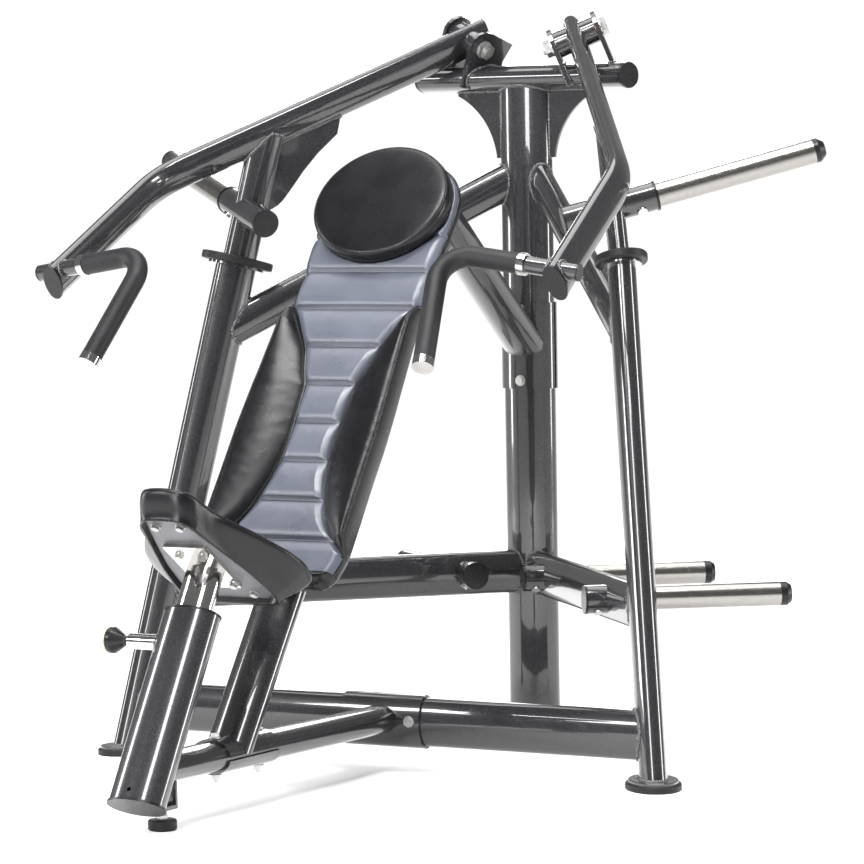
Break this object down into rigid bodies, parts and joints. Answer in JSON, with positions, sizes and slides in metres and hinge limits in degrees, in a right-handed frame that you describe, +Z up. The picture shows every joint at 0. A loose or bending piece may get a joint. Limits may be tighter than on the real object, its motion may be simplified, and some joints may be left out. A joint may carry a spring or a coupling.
{
  "type": "chest press machine",
  "caption": "Plate-loaded incline chest press with independent converging arms, an angled back pad, an adjustable seat and plate storage pegs.",
  "frame": {"origin": "on the floor, under the axis of the main column", "axes": "+Z up, -Y towards the front where the user sits, +X to the machine's right as seen from its front"},
  "size_m": [1.6346, 1.733, 1.5821],
  "materials": {
    "frame_paint": "gloss",
    "brushed_steel": "brushed",
    "zinc": "satin",
    "chrome": "polished",
    "spring_steel": "satin",
    "rubber": "satin",
    "black_plastic": "matte",
    "disc_plastic": "gloss",
    "seat_plate_paint": "satin",
    "board": "matte",
    "black_upholstery": "satin",
    "grey_upholstery": "satin",
    "bearing_bronze": "satin"
  },
  "bodies": {
    "frame": {"arm_stops": "rubber", "back_board": "board", "back_pad": "grey_upholstery", "back_support_brace": "frame_paint", "back_support_tube": "frame_paint", "bracket_rear": "frame_paint", "column_saddle_rear": "frame_paint", "floor_crossbar": "frame_paint", "foot_pads": "rubber", "foot_plates": "frame_paint", "frame_bolts": "zinc", "head_pad": "black_upholstery", "levelling_pad": "rubber", "levelling_stud": "zinc", "main_column": "frame_paint", "mid_brace_left": "frame_paint", "mid_brace_right": "frame_paint", "pin_housing": "chrome", "pin_spring": "spring_steel", "pivot_bolts": "zinc", "pivot_ears": "frame_paint", "seat_post": "frame_paint", "seat_post_collar": "black_plastic", "side_post_left": "frame_paint", "side_post_right": "frame_paint", "spine_clamp_lower": "frame_paint", "spine_tube": "frame_paint", "storage_peg_caps": "black_plastic", "storage_pegs": "brushed_steel", "storage_sleeves": "frame_paint", "top_crossbar": "frame_paint", "top_gussets": "frame_paint", "tube_end_caps": "black_plastic", "upper_brace_left": "frame_paint", "upper_brace_right": "frame_paint"},
    "arm_right": {"arm_bushings_right": "bearing_bronze", "arm_caps_right": "black_plastic", "arm_fittings_right": "chrome", "arm_leg_right": "frame_paint", "arm_tube_right": "frame_paint", "handle_grip_right": "rubber", "handle_tube_right": "frame_paint", "weight_peg_right": "brushed_steel"},
    "arm_left": {"arm_bushings_left": "bearing_bronze", "arm_caps_left": "black_plastic", "arm_fittings_left": "chrome", "arm_leg_left": "frame_paint", "arm_tube_left": "frame_paint", "handle_grip_left": "rubber", "handle_tube_left": "frame_paint", "weight_peg_left": "brushed_steel"},
    "seat": {"seat_tube": "chrome", "seat_bracket": "chrome", "seat_plate": "seat_plate_paint", "seat_board": "board", "seat_pad": "black_upholstery", "seat_bolts": "zinc"},
    "pop_pin": {"pin_plunger": "spring_steel", "pin_knob": "black_plastic", "pin_disc": "disc_plastic"}
  },
  "joints": [
    {"name": "arm_right_hinge", "type": "hinge", "parent": "frame", "child": "arm_right", "pos_m": [0.133, -0.009, 1.5265], "axis": [-0.8384, -0.399, -0.3714], "range_deg": [0, 38]},
    {"name": "arm_left_hinge", "type": "hinge", "parent": "frame", "child": "arm_left", "pos_m": [-0.133, -0.009, 1.5265], "axis": [-0.8384, 0.399, 0.3714], "range_deg": [0, 38]},
    {"name": "seat_slide", "type": "slide", "parent": "frame", "child": "seat", "axis": [0, 0.5145, 0.8575], "range_m": [-0.065, 0.075]},
    {"name": "pin_pull", "type": "slide", "parent": "frame", "child": "pop_pin", "axis": [-1, 0, 0], "range_m": [0, 0.012], "stiffness_N_per_m": 800, "springref_m": -0.01, "deforming": ["pin_spring"]}
  ]
}
